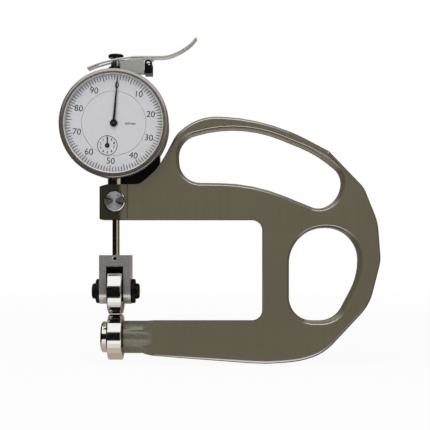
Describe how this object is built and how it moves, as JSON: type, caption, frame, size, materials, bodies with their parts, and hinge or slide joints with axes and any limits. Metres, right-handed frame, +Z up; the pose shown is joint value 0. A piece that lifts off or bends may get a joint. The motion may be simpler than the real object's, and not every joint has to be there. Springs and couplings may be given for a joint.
{
  "type": "roller dial thickness gauge",
  "caption": "Hand-held thickness gauge: C-shaped frame with a grip, dial indicator, thumb lever and ball-bearing rollers that a moving sheet passes between.",
  "frame": {"origin": "the nip between the two rollers, on the spindle's axis", "axes": "+X into the throat, +Y to the back, +Z up along the spindle"},
  "size_m": [0.1537, 0.0235, 0.1577],
  "materials": {
    "paint": "hammered grey-brown enamel over a casting",
    "polished": "polished hardened steel",
    "satin": "satin machined steel",
    "black": "black oxide or black lacquer",
    "brass": "plain turned brass",
    "dial": "silver-white dial lacquer with printed scale",
    "glass": "clear flat crystal"
  },
  "bodies": {
    "gauge_frame": {"frame": "paint", "clamp_screw": "satin", "lower_axle": "polished", "lower_spacers": "satin", "lower_inner_ring": "polished", "stem": "polished", "stem_bush": "brass", "case": "black", "back_cover": "black", "back_cover_screws": "satin", "top_bush": "polished", "top_collar": "black", "front_plate": "brass", "rear_plate": "brass", "movement_pillars": "brass", "pillar_screws": "satin", "pinion_bridge": "brass", "bridge_screws": "satin", "guide_rail": "brass", "return_spring": "satin", "spring_post": "brass", "hairspring": "satin", "dial_seat": "brass", "dial_disc": "dial", "bezel_spring": "satin", "lever_bracket": "satin", "lever_clevis": "black", "lever_pivot_pin": "polished"},
    "lower_wheel": {"lower_roller": "polished", "lower_shields": "polished"},
    "lower_ball_set": {"lower_balls": "polished", "lower_cage": "brass"},
    "plunger": {"spindle": "polished", "spindle_cap": "black", "spindle_arm": "brass", "yoke": "satin", "yoke_set_screw": "black", "upper_axle": "polished", "axle_cap_screws": "black", "upper_spacers": "satin", "upper_inner_ring": "polished"},
    "upper_wheel": {"upper_roller": "polished", "upper_shields": "polished"},
    "upper_ball_set": {"upper_balls": "polished", "upper_cage": "brass"},
    "transfer_train": {"rack_pinion": "brass", "transfer_wheel": "brass", "small_pointer": "black"},
    "centre_train": {"centre_arbor": "brass", "pointer": "black"},
    "take_up_train": {"hairspring_wheel": "brass"},
    "bezel_group": {"bezel": "polished", "crystal": "glass", "dial_ring": "dial"},
    "lever_group": {"lever": "polished", "lever_saddle": "polished"}
  },
  "joints": [
    {"name": "spindle_slide", "type": "slide", "parent": "gauge_frame", "child": "plunger", "axis": [0, 0, 1], "range_m": [0, 0.01], "stiffness_N_per_m": 60, "springref_m": -0.025, "deforming": ["return_spring"]},
    {"name": "transfer_turn", "type": "hinge", "parent": "gauge_frame", "child": "transfer_train", "pos_m": [-0.00304, 0, 0.08053], "axis": [0, 1, 0], "range_deg": [-360, 0]},
    {"name": "pointer_turn", "type": "hinge", "parent": "gauge_frame", "child": "centre_train", "pos_m": [0, 0, 0.0911], "axis": [0, 1, 0], "range_deg": [0, 3600]},
    {"name": "take_up_turn", "type": "hinge", "parent": "gauge_frame", "child": "take_up_train", "pos_m": [0.00304, 0, 0.10167], "axis": [0, 1, 0], "range_deg": [-360, 0]},
    {"name": "lever_swing", "type": "hinge", "parent": "gauge_frame", "child": "lever_group", "pos_m": [0.0159, 0, 0.1206], "axis": [0, 1, 0], "range_deg": [0, 27.4]},
    {"name": "bezel_turn", "type": "hinge", "parent": "gauge_frame", "child": "bezel_group", "pos_m": [0, 0, 0.0911], "axis": [0, 1, 0], "continuous": true},
    {"name": "upper_roller_spin", "type": "hinge", "parent": "plunger", "child": "upper_wheel", "pos_m": [0, 0, 0.0111], "axis": [1, 0, 0], "continuous": true},
    {"name": "upper_cage_spin", "type": "hinge", "parent": "plunger", "child": "upper_ball_set", "pos_m": [0, 0, 0.0111], "axis": [1, 0, 0], "continuous": true},
    {"name": "lower_roller_spin", "type": "hinge", "parent": "gauge_frame", "child": "lower_wheel", "pos_m": [0, 0, -0.0111], "axis": [1, 0, 0], "continuous": true},
    {"name": "lower_cage_spin", "type": "hinge", "parent": "gauge_frame", "child": "lower_ball_set", "pos_m": [0, 0, -0.0111], "axis": [1, 0, 0], "continuous": true}
  ],
  "couplings": [
    {"joint": "transfer_turn", "follows": "spindle_slide", "rad_per_m": -628.32},
    {"joint": "pointer_turn", "follows": "spindle_slide", "rad_per_m": 6283.2},
    {"joint": "take_up_turn", "follows": "spindle_slide", "rad_per_m": -628.32},
    {"joint": "lever_swing", "follows": "spindle_slide", "rad_per_m": 47.817},
    {"joint": "upper_cage_spin", "follows": "upper_roller_spin", "ratio": 0.63},
    {"joint": "lower_cage_spin", "follows": "lower_roller_spin", "ratio": 0.63}
  ]
}
